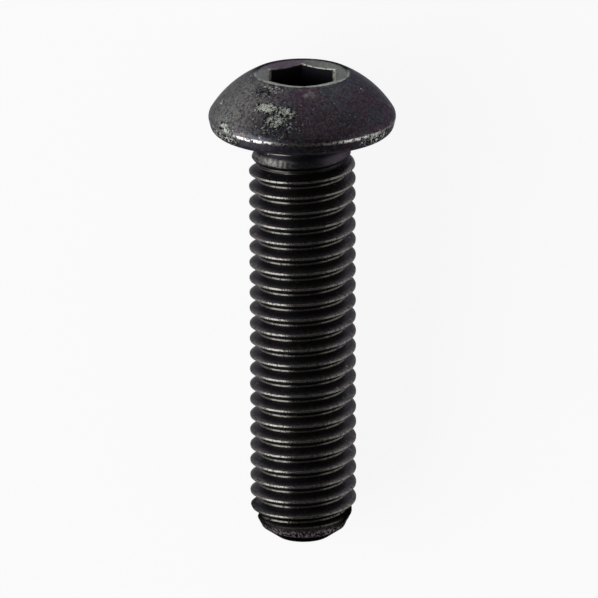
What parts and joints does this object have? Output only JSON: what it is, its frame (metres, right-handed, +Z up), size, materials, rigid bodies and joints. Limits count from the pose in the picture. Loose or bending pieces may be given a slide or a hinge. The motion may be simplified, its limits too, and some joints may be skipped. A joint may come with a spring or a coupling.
{
  "type": "button head socket screw",
  "caption": "Metric machine screw with a low domed head, a hexagon socket and a right-hand coarse thread to the head, in black oxide steel.",
  "frame": {"origin": "middle of the footprint, on the ground the screw lies on", "axes": "+Z up; the screw lies along Y with its head towards +Y, its axis rising to the head by 5.8 degrees; X is across"},
  "size_m": [0.0175, 0.046, 0.0174],
  "materials": {
    "black_oxide_steel": "black oxide, lightly oiled, semi-gloss, worn to bare steel on the rim's ridge and the thread crests"
  },
  "bodies": {
    "root": {"button_head_screw": "black_oxide_steel"}
  },
  "joints": []
}
